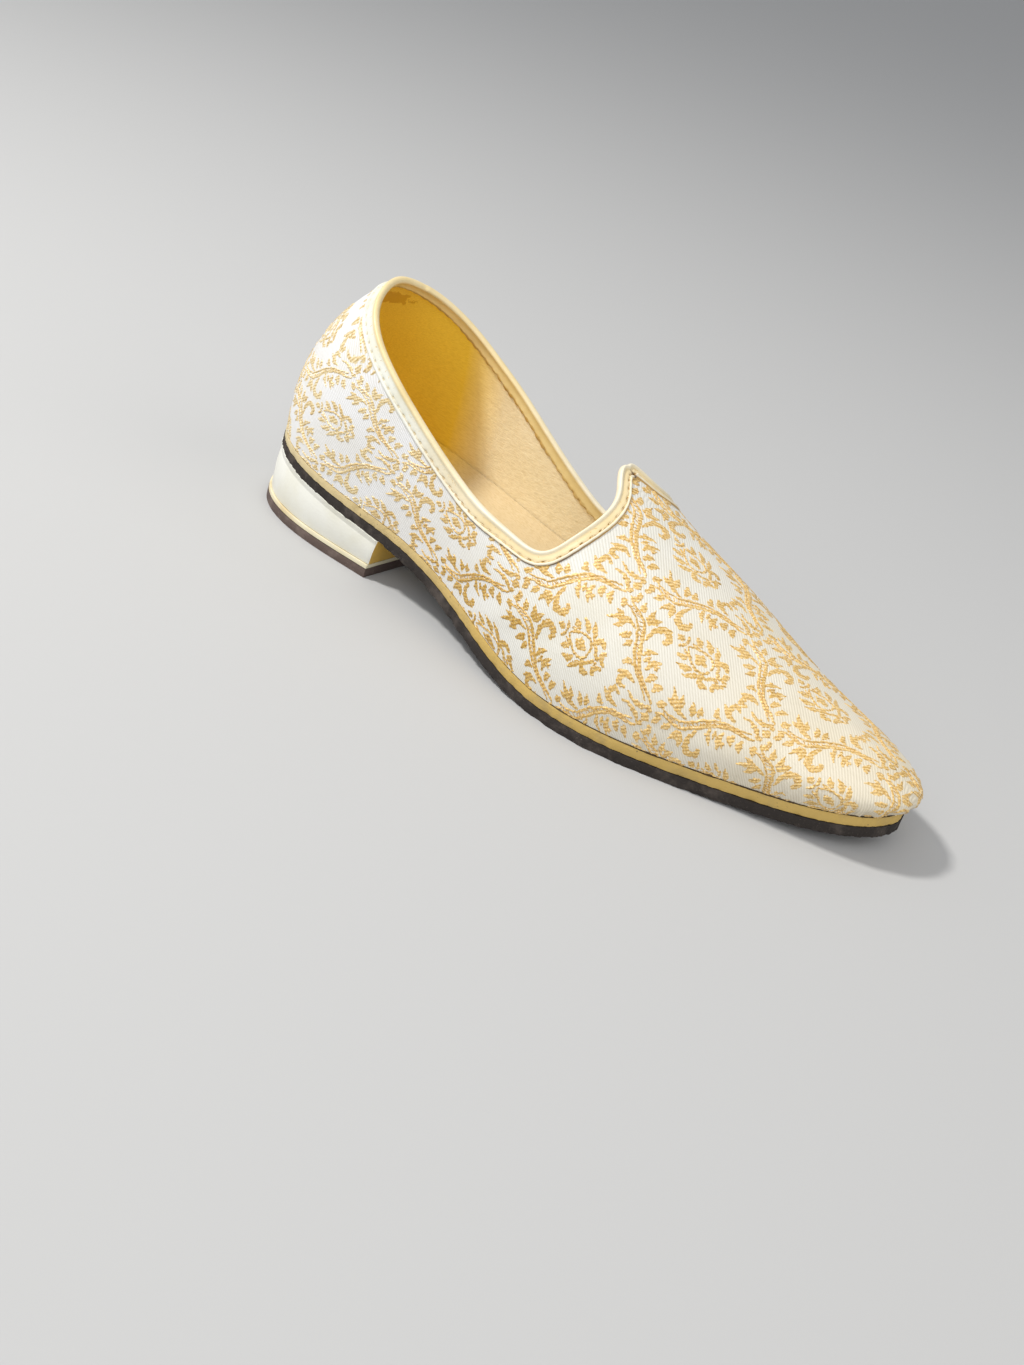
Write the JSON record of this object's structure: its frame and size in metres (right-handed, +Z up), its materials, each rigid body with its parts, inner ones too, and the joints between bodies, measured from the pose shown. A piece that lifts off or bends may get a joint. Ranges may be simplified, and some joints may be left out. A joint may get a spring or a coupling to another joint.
{
  "type": "slip-on shoe",
  "caption": "Men's right slip-on shoe in ivory and gold brocade, with a low topline that rises to a peak over the instep, a bound collar, a thin layered sole and a low covered heel.",
  "frame": {"origin": "on the floor, in the middle of the resting face of the top lift under the heel", "axes": "+X from heel to toe along the sole, +Y to the inner side of the foot, +Z up"},
  "size_m": [0.2901, 0.1, 0.0992],
  "materials": {
    "upper": "ivory satin brocade with a gold pattern",
    "collar_binding": "cream synthetic leather, soft gloss",
    "insole": "pale gold felted cloth",
    "midsole": "tan foam rubber, matt",
    "outsole": "black-brown sheet rubber, matt",
    "heel_block": "off-white synthetic leather cover",
    "heel_rand": "tan cream strip",
    "top_lift": "brown-black rubber, matt"
  },
  "bodies": {
    "root": {"upper": "upper", "collar_binding": "collar_binding", "insole": "insole", "midsole": "midsole", "outsole": "outsole", "heel_block": "heel_block", "heel_rand": "heel_rand", "top_lift": "top_lift"}
  },
  "joints": []
}
